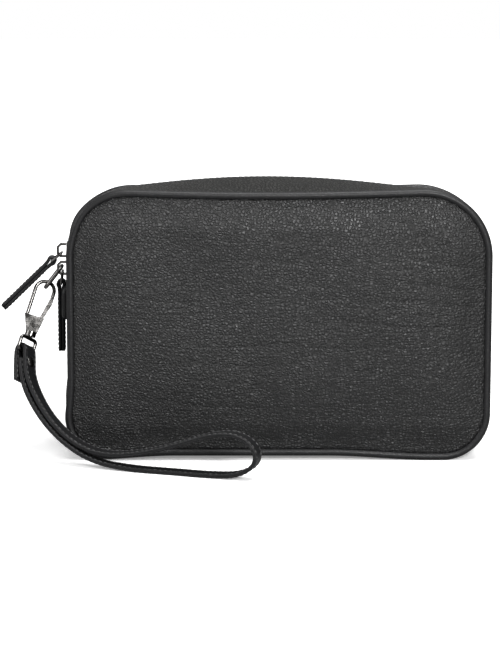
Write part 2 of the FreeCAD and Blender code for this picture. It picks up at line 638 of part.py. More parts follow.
def rounded_route(points):
    """Straight runs through the points with the largest arc that each corner's shorter run allows."""
    edges = []
    radii = []
    here = points[0]
    for before, corner, after in zip(points, points[1:], points[2:]):
        back = before - corner
        ahead = after - corner
        cut_off = 0.45 * min(back.Length, ahead.Length)
        half_turn = (math.pi - back.getAngle(ahead)) / 2
        radius = cut_off / math.tan(half_turn)
        start = corner + back.normalize() * cut_off
        end = corner + ahead.normalize() * cut_off
        towards = (back + ahead).normalize()
        middle = corner + towards * (radius / math.cos(half_turn) - radius)
        edges.append(Part.LineSegment(here, start).toShape())
        edges.append(Part.Arc(start, middle, end).toShape())
        radii.append(round(radius, 1))
        here = end
    edges.append(Part.LineSegment(here, points[-1]).toShape())
    print("strap arc radii", radii)
    return Part.Wire(edges)


def along_rivet(start, end, radius):
    """A cylinder on the rivet's axis, from one distance to another."""
    base = RIVET + OUT * start
    return Part.makeCylinder(radius, end - start, base, OUT)


def build_strap():
    """One leather band: it folds round the eye's bar, and a rivet holds its three layers there."""
    route = rounded_route([Vector(*point) for point in STRAP_ROUTE])
    start = Vector(*STRAP_ROUTE[0])
    ahead = (Vector(*STRAP_ROUTE[1]) - start).normalize()
    across = (WIDE - ahead * WIDE.dot(ahead)).normalize() * (size("strap_width") / 2)
    through = ahead.cross(across).normalize() * (size("strap_thick") / 2)
    corners = [start + across + through, start - across + through, start - across - through,
               start + across - through]
    section = Part.makePolygon(corners + corners[:1])
    shell = Part.BRepOffsetAPI.MakePipeShell(route)
    shell.setBiNormalMode(WIDE)
    shell.setTransitionMode(0)
    shell.add(section)
    shell.build()
    shell.makeSolid()
    band = shell.shape()
    expected = size("strap_width*strap_thick") * route.Length
    print("strap length", round(route.Length, 1), "volume", round(band.Volume), "expected", round(expected))
    strap = document.addObject("Part::Feature", "wrist_strap")
    strap.Label = "wrist_strap"
    strap.Shape = band.cut(along_rivet(-7, 7, size("rivet_shank/2 + 0.05")))
    nodes.append(strap)

    cap = document.addObject("Part::Feature", "strap_rivet_cap")
    cap.Label = "strap_rivet_cap"
    radius = size("rivet_radius")
    rise = size("rivet_cap - rivet_rim")
    dome_radius = (radius * radius + rise * rise) / (2 * rise)
    half_way = math.sqrt(dome_radius * dome_radius - radius * radius / 4) - dome_radius + size("rivet_cap")
    foot = Vector(radius, 0, 0)
    rim = Vector(radius, 0, size("rivet_rim"))
    top = Vector(0, 0, size("rivet_cap"))
    outline = [Part.makeLine(Vector(0, 0, 0), foot), Part.makeLine(foot, rim),
               Part.Arc(rim, Vector(radius / 2, 0, half_way), top).toShape(), Part.makeLine(top, Vector(0, 0, 0))]
    dome = Part.Face(Part.Wire(outline)).revolve(Vector(0, 0, 0), Vector(0, 0, 1), 360)
    dome.Placement = facing(RIVET + OUT * RIVET_FACE, WIDE, OUT)
    cap.Shape = dome
    nodes.append(cap)

    post = document.addObject("Part::Feature", "strap_rivet_post")
    post.Label = "strap_rivet_post"
    shank = along_rivet(-RIVET_FACE, RIVET_FACE, size("rivet_shank/2"))
    post.Shape = shank.fuse(along_rivet(-RIVET_FACE - 0.7, -RIVET_FACE, size("rivet_radius*0.8"))).removeSplitter()
    nodes.append(post)


RIVET = EYE_BAR + DOWN * 8
RIVET_FACE = 4.9

build_shell()
for back_copy in ("panel", "lining", "backing", "piping", "piping_cord"):
    copy_to_back(back_copy)
build_zip_hardware()
build_hook()
build_swivel()
build_strap()
document.recompute()

for item in document.Objects:
    if {"Invalid", "Error"} & set(item.State):
        raise RuntimeError(f"{item.Name} is {item.State}")
for node in nodes:
    if node.Shape.isNull() or not node.Shape.isValid():
        raise RuntimeError(f"{node.Label} has no valid shape")
os.makedirs("parts", exist_ok=True)
for node in nodes:
    node.Shape.exportStep(f"parts/{node.Label}.step")
for name, point in (("ring bar", RING_BAR), ("hook bar", hook_bar), ("gate pin", gate_pivot), ("eye bar", EYE_BAR),
                    ("upper link bar", UPPER_LINK_BAR), ("upper pull bar", upper_pull_bar),
                    ("lower link bar", LOWER_LINK_BAR), ("lower pull bar", lower_pull_bar),
                    ("eye bar runs", WIDE), ("hook axis", hook_turn.multVec(Vector(0, 0, 1))),
                    ("hook side", hook_turn.multVec(Vector(0, 1, 0))), ("down", DOWN), ("out", OUT)):
    print(name, [round(number, 4) for number in point])
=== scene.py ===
"""Black pebbled-leather makeup bag with rolled piping, a two-slider zip and a wrist strap on a snap hook.

Lengths are in metres. Every surface is a numpy grid: a shape is a function of two parameters, or a
section carried along a path. Depth below the bag's outline is called inset, as in the CAD part.
"""
import math

import bmesh
import bpy
import numpy as np
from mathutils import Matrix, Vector


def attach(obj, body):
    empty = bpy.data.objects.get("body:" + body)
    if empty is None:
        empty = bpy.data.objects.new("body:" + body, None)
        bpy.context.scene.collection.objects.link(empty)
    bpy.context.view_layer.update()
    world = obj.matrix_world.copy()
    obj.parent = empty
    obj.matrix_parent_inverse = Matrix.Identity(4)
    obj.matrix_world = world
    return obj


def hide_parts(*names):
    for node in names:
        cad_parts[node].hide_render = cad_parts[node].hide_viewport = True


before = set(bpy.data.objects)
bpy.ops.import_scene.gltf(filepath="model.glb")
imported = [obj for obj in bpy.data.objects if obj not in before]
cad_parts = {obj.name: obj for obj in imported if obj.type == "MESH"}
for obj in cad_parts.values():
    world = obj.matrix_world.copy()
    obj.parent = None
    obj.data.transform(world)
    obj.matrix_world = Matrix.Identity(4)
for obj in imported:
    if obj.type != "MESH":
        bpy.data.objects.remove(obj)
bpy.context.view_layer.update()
ACROSS_BAG = np.array([0.0, 1.0, 0.0])


# ------------------------------------------------------------------ camera, floor and light

def aim(thing, spot):
    """Turns a camera or lamp to face a point."""
    thing.rotation_euler = (Vector(spot) - thing.location).to_track_quat("-Z", "Y").to_euler()


def add_camera():
    """A long lens a little above the bag, level with its middle."""
    distance = 1.5
    long_side_seen = 0.389
    rise = math.radians(10)
    target = Vector((-0.0157, -0.0335, 0.0752))
    lens = bpy.data.cameras.new("camera")
    lens.lens = lens.sensor_width * distance / long_side_seen
    camera = bpy.data.objects.new("camera", lens)
    camera.location = target + Vector((0, -math.cos(rise), math.sin(rise))) * distance
    aim(camera, target)
    bpy.context.collection.objects.link(camera)
    bpy.context.scene.camera = camera


def add_lamp(name, place, size, watts, spot=(0, 0, 0.08)):
    """A square soft box that faces the bag."""
    lamp = bpy.data.lights.new(name, "AREA")
    lamp.size = size
    lamp.energy = watts
    holder = bpy.data.objects.new(name, lamp)
    holder.location = place
    aim(holder, spot)
    bpy.context.collection.objects.link(holder)


def add_sky():
    """Light from all round, stronger from above; the camera sees it as plain white."""
    world = bpy.data.worlds.new("studio")
    world.use_nodes = True
    tree = world.node_tree
    split = node(tree, "SeparateXYZ")
    tree.links.new(node(tree, "TexCoord").outputs["Generated"], split.inputs["Vector"])
    height = node(tree, "MapRange", {"From Min": -0.2, "From Max": 1.0, "To Min": 0.42, "To Max": 0.62})
    tree.links.new(split.outputs["Z"], height.inputs["Value"])
    seen = node(tree, "LightPath").outputs["Is Camera Ray"]
    sky = tree.nodes["Background"]
    sky.inputs["Color"].default_value = (1, 1, 1, 1)
    tree.links.new(calculate(tree, "MAXIMUM", height.outputs["Result"], seen), sky.inputs["Strength"])
    bpy.context.scene.world = world
    bpy.context.scene.view_settings.view_transform = "Standard"


def add_floor():
    """A floor that fades to white away from the bag for the camera, and is darker to every other ray."""
    pale, darker = 0.9, 0.28
    material = new_material("studio_floor", base=(pale, pale, pale), roughness=0.7)
    tree = material.node_tree
    link = tree.links.new
    away = node(tree, "VectorMath", operation="LENGTH")
    link(node(tree, "TexCoord").outputs["Object"], away.inputs[0])
    glow = node(tree, "MapRange", {"From Min": 0.15, "From Max": 0.9, "To Min": 0.25, "To Max": 0.95})
    link(away.outputs["Value"], glow.inputs["Value"])
    seen = node(tree, "LightPath").outputs["Is Camera Ray"]
    tone = node(tree, "Mix", data_type="RGBA")
    tone.inputs["A"].default_value = (darker, darker, darker, 1)
    tone.inputs["B"].default_value = (pale, pale, pale, 1)
    link(seen, tone.inputs["Factor"])
    shader = tree.nodes["Principled BSDF"]
    shader.inputs["Emission Color"].default_value = (1, 1, 1, 1)
    link(calculate(tree, "MULTIPLY", glow.outputs["Result"], seen), shader.inputs["Emission Strength"])
    link(tone.outputs["Result"], shader.inputs["Base Color"])
    reach = np.linspace(-4, 4, 9)
    across, along = np.meshgrid(reach, reach, indexing="ij")
    floor = grid_piece("studio_floor", np.stack([across, along, 0 * across], -1), material)


def add_studio():
    """Sky, floor and three soft boxes."""
    add_sky()
    add_floor()
    add_lamp("top_light", (0.2, -0.25, 1.3), 0.8, 22)
    add_lamp("left_light", (-1.2, -0.4, 0.6), 0.5, 6)
    add_lamp("right_light", (0.26, -1.0, 0.46), 0.22, 12, (0.075, 0, 0.12))


# ------------------------------------------------------------------ meshes

def link_mesh(name, verts, faces, material):
    """A smooth-shaded mesh object from an array of points and a list of faces."""
    mesh = bpy.data.meshes.new(name)
    mesh.from_pydata(np.asarray(verts).reshape(-1, 3).tolist(), [], faces)
    mesh.validate()
    mesh.polygons.foreach_set("use_smooth", [True] * len(mesh.polygons))
    mesh.materials.append(material)
    piece = bpy.data.objects.new(name, mesh)
    bpy.context.collection.objects.link(piece)
    return piece


def grid_faces(rows, columns, wrap_rows=False, wrap_columns=False):
    """Quads of a grid of points, joined end to end where it wraps."""
    row_steps = np.arange(rows - (not wrap_rows))
    column_steps = np.arange(columns - (not wrap_columns))
    i, j = np.meshgrid(row_steps, column_steps, indexing="ij")
    a = i * columns + j
    b = ((i + 1) % rows) * columns + j
    c = ((i + 1) % rows) * columns + (j + 1) % columns
    d = i * columns + (j + 1) % columns
    return np.stack([a, b, c, d], -1).reshape(-1, 4)


def tube_faces(rows, columns, closed=False):
    """Quads of a tube of rings, with a face over each end of an open one."""
    faces = grid_faces(rows, columns, closed, True).tolist()
    if not closed:
        faces.append(list(range(columns)))
        faces.append([(rows - 1) * columns + j for j in range(columns)][::-1])
    return faces


def grid_piece(name, points, material):
    """A piece from one grid of points, indexed row, column, axis."""
    rows, columns = points.shape[:2]
    return link_mesh(name, points, grid_faces(rows, columns).tolist(), material)


def tidy_mesh(piece):
    """Merges doubled points and turns every face outwards."""
    shape = bmesh.new()
    shape.from_mesh(piece.data)
    bmesh.ops.remove_doubles(shape, verts=shape.verts, dist=1e-6)
    bmesh.ops.recalc_face_normals(shape, faces=shape.faces)
    shape.to_mesh(piece.data)
    shape.free()


def give_thickness(piece, thickness):
    """Grows a sheet inwards, away from the side its faces show."""
    solid = piece.modifiers.new("wall", "SOLIDIFY")
    solid.thickness = thickness
    solid.offset = -1


def unit(vectors):
    """Vectors of length one."""
    return vectors / np.linalg.norm(vectors, axis=-1, keepdims=True)


def path_frames(path, wide, closed=False):
    """Along, across and through directions at each point; across is wide made square to the path."""
    if closed:
        along = unit(np.roll(path, -1, 0) - np.roll(path, 1, 0))
    else:
        along = unit(np.gradient(path, axis=0))
    wide = np.broadcast_to(wide, path.shape)
    across = unit(wide - along * np.sum(along * wide, -1, keepdims=True))
    return along, across, np.cross(along, across)


def carry_section(name, path, wide, section, material, closed=False):
    """A section of (across, through) pairs carried along a path; open ends are closed by a cap."""
    _, across, through = path_frames(path, wide, closed)
    rings = path[:, None] + across[:, None] * section[None, :, :1] + through[:, None] * section[None, :, 1:]
    piece = link_mesh(name, rings, tube_faces(*rings.shape[:2], closed), material)
    tidy_mesh(piece)
    return piece


def round_section(radius, sides=16):
    """A circle as a section."""
    turn = np.linspace(0, 2 * np.pi, sides, endpoint=False)
    return np.stack([np.cos(turn), np.sin(turn)], -1) * radius


def layered_section(width, thick, notch):
    """Two leather layers face to face: round outer corners and a small notch along each edge."""
    half, deep = width / 2, thick / 2
    bend = deep * 0.45
    side = [(half - bend, -deep), (half - bend * 0.3, -deep + bend * 0.3), (half, -deep + bend),
            (half, -notch * 0.8), (half - notch, 0), (half, notch * 0.8), (half, deep - bend),
            (half - bend * 0.3, deep - bend * 0.3), (half - bend, deep)]
    flat = np.linspace(half - bend, bend - half, 6)[1:-1]
    other = [(-x, -z) for x, z in side]
    top = [(x, deep) for x in flat]
    low = [(-x, -deep) for x in flat]
    return np.array(side + top + other + low)


def smooth_step(value, start, end):
    """Rises smoothly from 0 at start to 1 at end."""
    share = np.clip((value - start) / (end - start), 0, 1)
    return share * share * (3 - 2 * share)


# ------------------------------------------------------------------ materials

def new_material(name, base, roughness, metallic=0.0, **sockets):
    """A Principled material with plain values on its sockets."""
    material = bpy.data.materials.new(name)
    material.use_nodes = True
    shader = material.node_tree.nodes["Principled BSDF"]
    shader.inputs["Base Color"].default_value = (*base, 1)
    shader.inputs["Roughness"].default_value = roughness
    shader.inputs["Metallic"].default_value = metallic
    for socket, value in sockets.items():
        shader.inputs[socket.replace("_", " ")].default_value = value
    return material


def new_group(name, inputs, outputs):
    """An empty node group with named sockets: {name: (kind, default)}."""
    group = bpy.data.node_groups.new(name, "ShaderNodeTree")
    for direction, sockets in (("INPUT", inputs), ("OUTPUT", outputs)):
        for label, (kind, default) in sockets.items():
            socket = group.interface.new_socket(label, in_out=direction, socket_type=f"NodeSocket{kind}")
            if default is not None:
                socket.default_value = default
    return group, group.nodes.new("NodeGroupInput"), group.nodes.new("NodeGroupOutput")


def node(tree, kind, values=None, **settings):
    """A shader node with its settings and unlinked values set."""
    made = tree.nodes.new(f"ShaderNode{kind}")
    for setting, value in settings.items():
        setattr(made, setting, value)
    for socket, value in (values or {}).items():
        made.inputs[socket].default_value = value
    return made


def calculate(tree, operation, *sources):
    """The result of a Math node on sockets or plain numbers."""
    made = node(tree, "Math", operation=operation)
    for socket, source in zip(made.inputs, sources):
        feed(tree, socket, source)
    return made.outputs[0]


def feed(tree, socket, source):
    """Links a source to a socket, or sets the socket when the source is a number."""
    if isinstance(source, float):
        socket.default_value = source
    else:
        tree.links.new(source, socket)


def noise_at(tree, place, **values):
    """A noise node that reads its place from a socket."""
    noise = node(tree, "TexNoise", values)
    tree.links.new(place, noise.inputs["Vector"])
    return noise


def stretch(tree, place, scale=(1.0, 1.0, 1.0), turn=(0.0, 0.0, 0.0)):
    """A place scaled and turned."""
    mapping = node(tree, "Mapping", {"Scale": scale, "Rotation": turn})
    tree.links.new(place, mapping.inputs["Vector"])
    return mapping.outputs["Vector"]


def share_between(tree, value, low, high, kind="LINEAR"):
    """0 where the value is low and 1 where it is high."""
    mapped = node(tree, "MapRange", {"From Min": low, "From Max": high}, interpolation_type=kind)
    tree.links.new(value, mapped.inputs["Value"])
    return mapped.outputs["Result"]


def blend(tree, kind, share, first, second):
    """A mix of two colours or two values by a share."""
    mix = node(tree, "Mix", data_type=kind)
    for label, source in (("Factor", share), ("A", first), ("B", second)):
        tree.links.new(source, mix.inputs[label])
    return mix.outputs["Result"]


def bump_over(tree, height, strength, distance, under=None):
    """The normal of a bump laid over another normal."""
    bump = node(tree, "Bump", {"Strength": strength})
    feed(tree, bump.inputs["Height"], height)
    feed(tree, bump.inputs["Distance"], distance)
    if under is not None:
        tree.links.new(under, bump.inputs["Normal"])
    return bump.outputs["Normal"]


def leather_group():
    """Pebbled grain: raised cells parted by creases, over slow swells, fine pores and long faint creases;
    its colour holds painted shade, darker in the valleys between the cells and lighter on their tops, times
    a slow random tone.
    """
    tree, given, out = new_group("leather_grain", {
        "Cells per metre": ("Float", 540.0), "Pebble height": ("Float", 0.0003),
        "Crease height": ("Float", 0.0002), "Wrinkle depth": ("Float", 0.00004),
        "Dark": ("Color", (0.02, 0.02, 0.02, 1)), "Light": ("Color", (0.06, 0.06, 0.06, 1)),
        "Rough low": ("Float", 0.42), "Rough high": ("Float", 0.62),
    }, {"Color": ("Color", None), "Roughness": ("Float", None), "Normal": ("Vector", None)})
    link = tree.links.new
    place = node(tree, "TexCoord").outputs["Object"]
    warp = noise_at(tree, place, Scale=260.0, Detail=2.0)
    shift = node(tree, "VectorMath", {1: (0.0009, 0.0009, 0.0009)}, operation="MULTIPLY")
    link(warp.outputs["Color"], shift.inputs[0])
    moved = node(tree, "VectorMath", operation="ADD")
    link(place, moved.inputs[0])
    link(shift.outputs[0], moved.inputs[1])

    cells = node(tree, "TexVoronoi", {"Randomness": 1.0}, feature="DISTANCE_TO_EDGE")
    link(moved.outputs[0], cells.inputs["Vector"])
    link(given.outputs["Cells per metre"], cells.inputs["Scale"])
    domes = share_between(tree, cells.outputs["Distance"], 0.0, 0.28, "SMOOTHSTEP")
    creases = noise_at(tree, stretch(tree, place, (18.0, 30.0, 70.0)),
                       Scale=2.4, Detail=5.0, Roughness=0.6, Distortion=0.8)
    pores = noise_at(tree, place, Scale=2600.0, Detail=1.0)
    folds = noise_at(tree, stretch(tree, moved.outputs[0], (34.0, 60.0, 330.0), (0.0, 0.06, 0.0)),
                     Scale=1.0, Detail=3.0, Distortion=0.4)
    from_middle = calculate(tree, "SUBTRACT", folds.outputs["Fac"], 0.5)
    lines = share_between(tree, calculate(tree, "ABSOLUTE", from_middle), 0.0, 0.05, "SMOOTHSTEP")

    creased = bump_over(tree, creases.outputs["Fac"], 0.7, given.outputs["Crease height"])
    pebbled = bump_over(tree, domes, 0.85, given.outputs["Pebble height"], creased)
    pored = bump_over(tree, pores.outputs["Fac"], 0.25, 0.00004, pebbled)
    folded = bump_over(tree, lines, 0.8, given.outputs["Wrinkle depth"], pored)

    # Painted shade: the colour is darker in the valleys between the cells and lighter on their tops, times a
    # slow random tone.
    slow = noise_at(tree, place, Scale=22.0, Detail=3.0)
    painted_valley_shade_and_tone = calculate(tree, "MULTIPLY", domes, slow.outputs["Fac"])
    share = share_between(tree, painted_valley_shade_and_tone, 0.1, 0.65)
    colour = blend(tree, "RGBA", share, given.outputs["Dark"], given.outputs["Light"])
    gloss = blend(tree, "FLOAT", share, given.outputs["Rough high"], given.outputs["Rough low"])
    link(colour, out.inputs["Color"])
    link(gloss, out.inputs["Roughness"])
    link(folded, out.inputs["Normal"])
    return tree


def metal_group():
    """Plated metal: faint cloudy tarnish, hairline scuffs and a soft waviness."""
    tree, given, out = new_group("plated_metal", {
        "Dark": ("Color", (0.07, 0.068, 0.065, 1)), "Light": ("Color", (0.17, 0.165, 0.16, 1)),
        "Rough low": ("Float", 0.12), "Rough high": ("Float", 0.34),
    }, {"Color": ("Color", None), "Roughness": ("Float", None), "Normal": ("Vector", None)})
    link = tree.links.new
    place = node(tree, "TexCoord").outputs["Object"]
    cloud = noise_at(tree, place, Scale=140.0, Detail=4.0, Roughness=0.6)
    scuff = noise_at(tree, place, Scale=1800.0, Detail=2.0)
    share = share_between(tree, cloud.outputs["Fac"], 0.35, 0.65)
    colour = blend(tree, "RGBA", share, given.outputs["Dark"], given.outputs["Light"])
    gloss = blend(tree, "FLOAT", share, given.outputs["Rough low"], given.outputs["Rough high"])
    link(colour, out.inputs["Color"])
    link(gloss, out.inputs["Roughness"])
    link(bump_over(tree, scuff.outputs["Fac"], 0.15, 0.00005), out.inputs["Normal"])
    return tree


def weave_group():
    """Plain woven cloth: two crossed sets of round threads, each a sine of the place across it."""
    tree, given, out = new_group("woven_cloth", {
        "Threads per metre": ("Float", 2200.0), "Dark": ("Color", (0.01, 0.01, 0.01, 1)),
        "Light": ("Color", (0.05, 0.05, 0.05, 1)),
    }, {"Color": ("Color", None), "Normal": ("Vector", None)})
    link = tree.links.new
    scaled = node(tree, "VectorMath", operation="SCALE")
    link(node(tree, "TexCoord").outputs["Object"], scaled.inputs[0])
    link(given.outputs["Threads per metre"], scaled.inputs["Scale"])
    split = node(tree, "SeparateXYZ")
    link(stretch(tree, scaled.outputs[0], turn=(0.6, 0.5, 0.785)), split.inputs["Vector"])
    waves = [calculate(tree, "SINE", split.outputs[axis]) for axis in ("X", "Y")]
    share = share_between(tree, calculate(tree, "MAXIMUM", *waves), -0.4, 1.0)
    link(blend(tree, "RGBA", share, given.outputs["Dark"], given.outputs["Light"]), out.inputs["Color"])
    link(bump_over(tree, share, 0.6, 0.0001), out.inputs["Normal"])
    return tree


def finish_with(name, group, values, roughness=0.5, metallic=0.0, **sockets):
    """A material whose colour, gloss and normal come from a node group with its own values."""
    material = new_material(name, (0.03, 0.03, 0.03), roughness, metallic, **sockets)
    tree = material.node_tree
    effect = tree.nodes.new("ShaderNodeGroup")
    effect.node_tree = group
    for socket, value in values.items():
        effect.inputs[socket].default_value = value
    shader = tree.nodes["Principled BSDF"]
    for output, socket in (("Color", "Base Color"), ("Roughness", "Roughness"), ("Normal", "Normal")):
        if output in effect.outputs:
            tree.links.new(effect.outputs[output], shader.inputs[socket])
    return material


grain, plating, weave = leather_group(), metal_group(), weave_group()
panel_leather = finish_with("panel_leather", grain, {
    "Pebble height": 0.0005, "Wrinkle depth": 0.00014, "Crease height": 0.00025,
    "Dark": (0.0015, 0.0015, 0.0015, 1), "Light": (0.009, 0.009, 0.0097, 1),
    "Rough low": 0.36, "Rough high": 0.56}, Specular_IOR_Level=0.42)
gusset_leather = finish_with("gusset_leather", grain, {
    "Pebble height": 0.0006, "Dark": (0.004, 0.004, 0.0037, 1), "Light": (0.014, 0.014, 0.0126, 1)},
    Specular_IOR_Level=0.27)
piping_leather = finish_with("piping_leather", grain, {
    "Pebble height": 0.00004, "Crease height": 0.0001, "Dark": (0.006, 0.006, 0.0065, 1),
    "Light": (0.011, 0.011, 0.0115, 1), "Rough low": 0.36, "Rough high": 0.48}, Specular_IOR_Level=0.25)
strap_leather = finish_with("strap_leather", grain, {
    "Cells per metre": 1100.0, "Pebble height": 0.00005, "Crease height": 0.0001,
    "Dark": (0.005, 0.005, 0.0055, 1), "Light": (0.008, 0.008, 0.0085, 1),
    "Rough low": 0.36, "Rough high": 0.5}, Specular_IOR_Level=0.22)
gunmetal = finish_with("gunmetal", plating, {}, metallic=1.0)
spring_steel = finish_with("spring_steel", plating, {
    "Dark": (0.3, 0.3, 0.3, 1), "Light": (0.5, 0.5, 0.5, 1)}, metallic=1.0)
tape_cloth = finish_with("tape_cloth", weave, {}, roughness=0.8, Sheen_Weight=0.3)
lining_cloth = finish_with("lining_cloth", weave, {
    "Dark": (0.02, 0.02, 0.025, 1), "Light": (0.09, 0.09, 0.1, 1)}, roughness=0.75, Sheen_Weight=0.2)
cotton_cord = finish_with("cotton_cord", weave, {
    "Dark": (0.35, 0.33, 0.3, 1), "Light": (0.62, 0.6, 0.55, 1)}, roughness=0.9)
fibre_board = finish_with("fibre_board", weave, {
    "Threads per metre": 700.0, "Dark": (0.22, 0.2, 0.17, 1), "Light": (0.36, 0.33, 0.29, 1)}, roughness=0.9)
chain_metal = finish_with("chain_metal", plating, {
    "Dark": (0.02, 0.02, 0.02, 1), "Light": (0.07, 0.068, 0.065, 1), "Rough low": 0.25}, metallic=0.8)
thread = finish_with("thread", weave, {
    "Threads per metre": 5000.0, "Light": (0.06, 0.06, 0.06, 1)}, roughness=0.6)


# ------------------------------------------------------------------ the bag's outline

WIDTH, HEIGHT = 0.250, 0.160
TOP_CORNER, BOTTOM_CORNER = 0.040, 0.028
SEAM = 0.092
GUSSET_INSET = 0.0018
LEATHER = 0.0015
PIPING_RADIUS = 0.00225
PIPING_Y = 0.03125
SEAM_TO_CORNER = HEIGHT - TOP_CORNER - SEAM
TOP_ARC = TOP_CORNER * math.pi / 2
BOTTOM_ARC = BOTTOM_CORNER * math.pi / 2
SIDE_LENGTHS = [SEAM_TO_CORNER, TOP_ARC, WIDTH - 2 * TOP_CORNER, TOP_ARC,
                HEIGHT - TOP_CORNER - BOTTOM_CORNER, BOTTOM_ARC, WIDTH - 2 * BOTTOM_CORNER, BOTTOM_ARC,
                SEAM - BOTTOM_CORNER]
SIDE_TURNS = [0, -90, 0, -90, 0, -90, 0, -90, 0]
AROUND = sum(SIDE_LENGTHS)
OVER = sum(SIDE_LENGTHS[:4]) + SEAM_TO_CORNER
OUTLINE_STEPS = 20000
TOP_SAG = 0.0018
TOP_SWELL = 0.0092
SWELL_HALF = 0.030
LEVEL_HALF = 0.0085
ZIP_DIP = 0.0010
BACK_LOWER = 0.0045
LEFT_LEAN = 0.0026
LEFT_FOOT = 0.0020
FRONT_RISE = 0.0026


def outline_table():
    """The outline walked from the left seam over the top: headings summed into places."""
    marks = np.concatenate([[0], np.cumsum(SIDE_LENGTHS)])
    headings = np.radians(90 + np.concatenate([[0], np.cumsum(SIDE_TURNS)]))
    walk = np.linspace(0, AROUND, OUTLINE_STEPS + 1)
    heading = np.interp(walk, marks, headings)
    middle = (heading[1:] + heading[:-1]) / 2
    step = AROUND / OUTLINE_STEPS
    across = -WIDTH / 2 + np.concatenate([[0], np.cumsum(np.cos(middle) * step)])
    up = SEAM + np.concatenate([[0], np.cumsum(np.sin(middle) * step)])
    return walk, heading, across, up


WALK, HEADING, OUTLINE_X, OUTLINE_Z = outline_table()


def top_share(across):
    """1 at the middle of the top edge, falling to 0 where the top corners start."""
    return np.clip(1 - ((across + 0.006) / (WIDTH / 2 - TOP_CORNER + 0.006)) ** 2, 0, 1) ** 1.25


def left_slump(x, across, z):
    """How far the left side leans: its front edge falls back to the right, its foot swells to the left."""
    near_left = smooth_step(-x, 0.096, 0.118)
    front = smooth_step(-across, 0.010, 0.029) * smooth_step(z, 0.01, 0.05) \
        * (1 - smooth_step(z, 0.13, 0.155))
    foot = np.clip(1 - (across / 0.029) ** 2, 0, 1) * smooth_step(z, 0.004, 0.025) \
        * (1 - smooth_step(z, 0.035, 0.056))
    return near_left * (LEFT_LEAN * front - LEFT_FOOT * foot)


def foot_rise(x, across, z):
    """How far the middle of the front's lower edge is drawn up off the floor."""
    middle = smooth_step(x, -0.112, -0.06) * (1 - smooth_step(x, 0.03, 0.09))
    return FRONT_RISE * middle * smooth_step(-across, 0.016, 0.029) * (1 - smooth_step(z, 0.004, 0.035))


def on_outline(walk, inset, across):
    """Points at a walk round the outline, an inset below it and a place across the gusset.

    The top sags a little at the piping, swells between the two pipings with a level middle and a dip at
    the zip, and lies lower at the back. Under the seam the gusset drops until its own face is on the floor.
    """
    walk, inset, across = np.broadcast_arrays(walk, inset, across)
    heading = np.interp(walk % AROUND, WALK, HEADING)
    x = np.interp(walk % AROUND, WALK, OUTLINE_X) + inset * np.sin(heading)
    z = np.interp(walk % AROUND, WALK, OUTLINE_Z) - inset * np.cos(heading)
    x = x + left_slump(x, across, z)
    on_top = walk % AROUND < OVER
    beside = np.maximum(np.abs(across), LEVEL_HALF)
    swell = TOP_SWELL * np.clip(1 - (beside / SWELL_HALF) ** 2, 0, 1) - TOP_SAG \
        - ZIP_DIP * (1 - smooth_step(np.abs(across), 0.003, 0.0056))
    back_lower = BACK_LOWER * smooth_step(across, -0.012, 0.028) * smooth_step(z, 0.125, 0.158)
    lift = np.where(on_top, swell * top_share(x) * smooth_step(z, 0.12, 0.15), 0) - back_lower
    drop = np.where(on_top | (np.abs(across) > 0.0292), 0, GUSSET_INSET * (1 - smooth_step(z, 0.03, SEAM)))
    return np.stack([x, across, z + lift - drop + foot_rise(x, across, z)], -1)


# ------------------------------------------------------------------ sewing thread

def stitch_line(name, places, along, outward, length, radius):
    """One short thread per place: a rounded bar that dips into the leather at both ends.

    Each ring of the bar shrinks with the distance from its middle, as an ellipse does.
    """
    share = np.linspace(-1, 1, 7)
    shrink = np.sqrt(np.clip(1 - share ** 2, 0.04, 1))
    turn = np.linspace(0, 2 * np.pi, 6, endpoint=False)
    along, outward = unit(along), unit(outward)
    side = np.cross(along, outward)
    spot = places[:, None, None] + along[:, None, None] * (share * length / 2)[None, :, None, None]
    ring = side[:, None, None] * np.cos(turn)[None, None, :, None] * 1.25 \
        + outward[:, None, None] * np.sin(turn)[None, None, :, None]
    points = spot + ring * (shrink * radius)[None, :, None, None]
    per_stitch = len(share) * len(turn)
    quads = grid_faces(len(share), len(turn), wrap_columns=True)
    all_quads = (quads[None] + np.arange(len(places))[:, None, None] * per_stitch).reshape(-1, 4)
    return link_mesh(name, points, all_quads.tolist(), thread)


def read_along(wanted, walked, rows):
    """Rows of three numbers, known at the places walked, read at the places wanted."""
    return np.stack([np.interp(wanted, walked, rows[:, axis]) for axis in range(3)], -1)


def spread_along(line, pitch):
    """Evenly spaced places along a line of points, the line's direction and the way walked at each."""
    steps = np.linalg.norm(np.diff(line, axis=0), axis=1)
    walked = np.concatenate([[0], np.cumsum(steps)])
    wanted = np.arange(pitch / 2, walked[-1] - pitch / 4, pitch)
    ahead = read_along(wanted + pitch * 0.2, walked, line)
    behind = read_along(wanted - pitch * 0.2, walked, line)
    return read_along(wanted, walked, line), ahead - behind, wanted


def settle(piece, body, slot, *nodes):
    """Puts a piece on its CAD body and lets it stand for CAD nodes; the slot is not used."""
    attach(piece, body)
    if nodes:
        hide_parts(*nodes)
    return piece


# ------------------------------------------------------------------ gusset, zip tapes and linings

def gusset_strip(name, walk, profile, material):
    """A closed profile of (inset, across) pairs carried along part of the outline."""
    inset, across = profile[:, 0], profile[:, 1]
    points = on_outline(walk[:, None], inset[None], across[None])
    piece = link_mesh(name, points, tube_faces(*points.shape[:2]), material)
    tidy_mesh(piece)
    return piece


